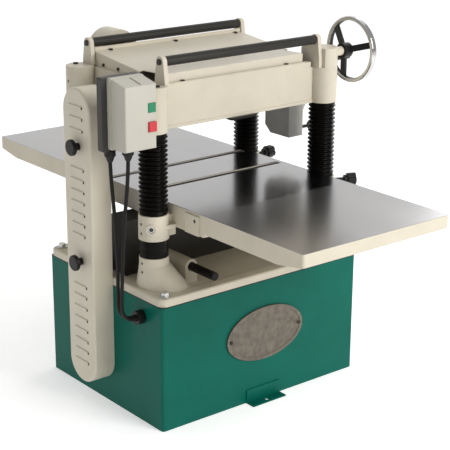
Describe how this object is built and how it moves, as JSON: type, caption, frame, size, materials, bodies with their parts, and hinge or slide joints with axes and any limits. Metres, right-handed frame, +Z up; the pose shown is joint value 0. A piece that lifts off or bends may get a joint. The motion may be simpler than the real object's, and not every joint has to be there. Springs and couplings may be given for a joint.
{
  "type": "thickness planer",
  "caption": "Floor-standing thickness planer: geared lifting table on posts, belt-driven cutterhead, powered feed rollers, dust hood and switch box.",
  "frame": {"origin": "on the floor, under the middle of the cabinet", "axes": "+X to the operator's right across the feed, +Y along the feed from infeed to outfeed, +Z up"},
  "size_m": [0.915, 1.41, 1.039],
  "materials": {
    "cream_paint": "hammered cream enamel",
    "green_paint": "satin green enamel",
    "grey_paint": "satin grey enamel",
    "black_paint": "satin black enamel",
    "pan_paint": "satin dark grey enamel",
    "box_paint": "satin light grey enamel",
    "ground_iron": "ground",
    "roller_steel": "turned",
    "dark_steel": "blackened",
    "bright_steel": "bright",
    "drive_iron": "machined",
    "wheel_chrome": "polished rim, black spokes",
    "black_plastic": "moulded",
    "gland_plastic": "moulded",
    "bellows_rubber": "smooth",
    "belt_rubber": "matt",
    "lead_rubber": "matt",
    "plate_metal": "cast, raised rim",
    "start_green": "moulded",
    "stop_red": "moulded",
    "insert_carbide": "ground"
  },
  "bodies": {
    "frame": {"cabinet": "green_paint", "access_panel": "green_paint", "nameplate": "plate_metal", "base_casting": "cream_paint", "columns": "bright_steel", "chip_shield": "black_paint", "lift_chain": "dark_steel", "head_casting": "cream_paint", "bearing_blocks": "drive_iron", "lift_gear_housing": "cream_paint", "v_belts": "belt_rubber", "motor_housing": "grey_paint", "belt_guard_back": "black_paint", "feed_chain": "dark_steel", "gearbox": "grey_paint", "pressure_bars": "dark_steel", "depth_limiter": "black_paint", "infeed_cover": "cream_paint", "dust_hood": "cream_paint", "roller_brackets": "cream_paint", "switch_pan": "pan_paint", "switch_box": "box_paint", "cable_glands": "gland_plastic", "motor_lead": "lead_rubber", "control_lead": "lead_rubber", "fixing_screws": "dark_steel", "upper_bellows": "bellows_rubber", "lower_bellows": "bellows_rubber"},
    "table": {"table": "ground_iron", "front_wing": "ground_iron", "rear_wing": "ground_iron", "table_bolts": "dark_steel"},
    "cutterhead": {"cutterhead": "dark_steel", "cutterhead_inserts": "insert_carbide", "cutterhead_pulley": "drive_iron"},
    "handwheel": {"handwheel": "wheel_chrome"},
    "handwheel_grip": {"handwheel_grip": "black_plastic"},
    "leadscrew_front_left": {"leadscrew_front_left": "bright_steel"},
    "leadscrew_front_right": {"leadscrew_front_right": "bright_steel"},
    "leadscrew_rear_left": {"leadscrew_rear_left": "bright_steel"},
    "leadscrew_rear_right": {"leadscrew_rear_right": "bright_steel"},
    "bed_roller_front": {"bed_roller_front": "roller_steel"},
    "bed_roller_rear": {"bed_roller_rear": "roller_steel"},
    "table_lock_knob_front": {"table_lock_knob_front": "black_plastic"},
    "table_lock_knob_rear": {"table_lock_knob_rear": "black_plastic"},
    "motor_rotor": {"motor_rotor": "drive_iron"},
    "infeed_roller": {"infeed_roller": "bright_steel"},
    "outfeed_roller": {"outfeed_roller": "bright_steel"},
    "gearbox_output": {"gearbox_output": "dark_steel"},
    "return_roller_front": {"return_roller_front": "bright_steel"},
    "return_roller_rear": {"return_roller_rear": "bright_steel"},
    "belt_guard_cover": {"belt_guard_cover": "cream_paint"},
    "guard_knob_upper": {"guard_knob_upper": "black_plastic"},
    "guard_knob_lower": {"guard_knob_lower": "black_plastic"},
    "feed_speed_knob": {"feed_speed_knob": "black_plastic"},
    "start_button": {"start_button": "start_green"},
    "stop_button": {"stop_button": "stop_red"},
    "anti_kickback_fingers": {"anti_kickback_fingers": "dark_steel"},
    "lifting_bar_left": {"lifting_bar_left": "black_paint"},
    "lifting_bar_right": {"lifting_bar_right": "black_paint"}
  },
  "joints": [
    {"name": "handwheel_turn", "type": "hinge", "parent": "frame", "child": "handwheel", "pos_m": [0.356, -0.193, 0.945], "axis": [1, 0, 0], "range_deg": [0, 17100]},
    {"name": "handwheel_grip_spin", "type": "hinge", "parent": "handwheel", "child": "handwheel_grip", "pos_m": [0.42, -0.11324, 0.90781], "axis": [1, 0, 0], "continuous": true},
    {"name": "table_lift", "type": "slide", "parent": "frame", "child": "table", "axis": [0, 0, 1], "range_m": [0, 0.19], "deforming": ["upper_bellows", "lower_bellows"]},
    {"name": "leadscrew_front_left_turn", "type": "hinge", "parent": "frame", "child": "leadscrew_front_left", "pos_m": [-0.298, -0.168, 0.6], "axis": [0, 0, 1], "range_deg": [-17100, 0]},
    {"name": "leadscrew_front_right_turn", "type": "hinge", "parent": "frame", "child": "leadscrew_front_right", "pos_m": [0.298, -0.168, 0.6], "axis": [0, 0, 1], "range_deg": [-17100, 0]},
    {"name": "leadscrew_rear_left_turn", "type": "hinge", "parent": "frame", "child": "leadscrew_rear_left", "pos_m": [-0.298, 0.168, 0.6], "axis": [0, 0, 1], "range_deg": [-17100, 0]},
    {"name": "leadscrew_rear_right_turn", "type": "hinge", "parent": "frame", "child": "leadscrew_rear_right", "pos_m": [0.298, 0.168, 0.6], "axis": [0, 0, 1], "range_deg": [-17100, 0]},
    {"name": "bed_roller_front_spin", "type": "hinge", "parent": "table", "child": "bed_roller_front", "pos_m": [0, -0.053, 0.5951], "axis": [1, 0, 0], "continuous": true},
    {"name": "bed_roller_rear_spin", "type": "hinge", "parent": "table", "child": "bed_roller_rear", "pos_m": [0, 0.113, 0.5951], "axis": [1, 0, 0], "continuous": true},
    {"name": "table_lock_front_turn", "type": "hinge", "parent": "table", "child": "table_lock_knob_front", "pos_m": [0.298, -0.168, 0.566], "axis": [0.8829, -0.4695, 0], "range_deg": [0, 360]},
    {"name": "table_lock_rear_turn", "type": "hinge", "parent": "table", "child": "table_lock_knob_rear", "pos_m": [0.298, 0.168, 0.566], "axis": [1, 0, 0], "range_deg": [0, 360]},
    {"name": "motor_spin", "type": "hinge", "parent": "frame", "child": "motor_rotor", "pos_m": [-0.2, 0.018, 0.129], "axis": [1, 0, 0], "continuous": true},
    {"name": "cutterhead_spin", "type": "hinge", "parent": "frame", "child": "cutterhead", "pos_m": [0, 0.018, 0.842], "axis": [1, 0, 0], "continuous": true},
    {"name": "infeed_roller_spin", "type": "hinge", "parent": "frame", "child": "infeed_roller", "pos_m": [0, -0.055, 0.826], "axis": [1, 0, 0], "continuous": true},
    {"name": "outfeed_roller_spin", "type": "hinge", "parent": "frame", "child": "outfeed_roller", "pos_m": [0, 0.104, 0.826], "axis": [1, 0, 0], "continuous": true},
    {"name": "gearbox_output_spin", "type": "hinge", "parent": "frame", "child": "gearbox_output", "pos_m": [0.31, -0.01, 0.74], "axis": [1, 0, 0], "continuous": true},
    {"name": "return_roller_front_spin", "type": "hinge", "parent": "frame", "child": "return_roller_front", "pos_m": [0, -0.168, 0.982], "axis": [1, 0, 0], "continuous": true},
    {"name": "return_roller_rear_spin", "type": "hinge", "parent": "frame", "child": "return_roller_rear", "pos_m": [0, 0.168, 0.982], "axis": [1, 0, 0], "continuous": true},
    {"name": "belt_guard_cover_pull", "type": "slide", "parent": "frame", "child": "belt_guard_cover", "axis": [-1, 0, 0], "range_m": [0, 0.09]},
    {"name": "guard_knob_upper_turn", "type": "hinge", "parent": "belt_guard_cover", "child": "guard_knob_upper", "pos_m": [-0.43, 0.007, 0.746], "axis": [1, 0, 0], "range_deg": [0, 720]},
    {"name": "guard_knob_lower_turn", "type": "hinge", "parent": "belt_guard_cover", "child": "guard_knob_lower", "pos_m": [-0.43, 0.007, 0.424], "axis": [1, 0, 0], "range_deg": [0, 720]},
    {"name": "feed_speed_shift", "type": "slide", "parent": "frame", "child": "feed_speed_knob", "axis": [1, 0, 0], "range_m": [-0.01, 0.01]},
    {"name": "start_button_press", "type": "slide", "parent": "frame", "child": "start_button", "axis": [0, 1, 0], "range_m": [0, 0.003], "stiffness_N_per_m": 400, "springref_m": -0.002},
    {"name": "stop_button_press", "type": "slide", "parent": "frame", "child": "stop_button", "axis": [0, 1, 0], "range_m": [0, 0.003], "stiffness_N_per_m": 400, "springref_m": -0.002},
    {"name": "kickback_finger_swing", "type": "hinge", "parent": "frame", "child": "anti_kickback_fingers", "pos_m": [0, -0.13, 0.868], "axis": [1, 0, 0], "range_deg": [0, 30]},
    {"name": "lifting_bar_left_slide", "type": "slide", "parent": "frame", "child": "lifting_bar_left", "axis": [0, 1, 0], "range_m": [0, 0.1]},
    {"name": "lifting_bar_right_slide", "type": "slide", "parent": "frame", "child": "lifting_bar_right", "axis": [0, 1, 0], "range_m": [0, 0.1]}
  ],
  "couplings": [
    {"joint": "table_lift", "follows": "handwheel_turn", "m_per_rad": 0.00063662},
    {"joint": "leadscrew_front_left_turn", "follows": "handwheel_turn", "ratio": -1},
    {"joint": "leadscrew_front_right_turn", "follows": "handwheel_turn", "ratio": -1},
    {"joint": "leadscrew_rear_left_turn", "follows": "handwheel_turn", "ratio": -1},
    {"joint": "leadscrew_rear_right_turn", "follows": "handwheel_turn", "ratio": -1},
    {"joint": "cutterhead_spin", "follows": "motor_spin", "ratio": 1.4474},
    {"joint": "outfeed_roller_spin", "follows": "infeed_roller_spin", "ratio": 1},
    {"joint": "gearbox_output_spin", "follows": "infeed_roller_spin", "ratio": 0.83333}
  ]
}
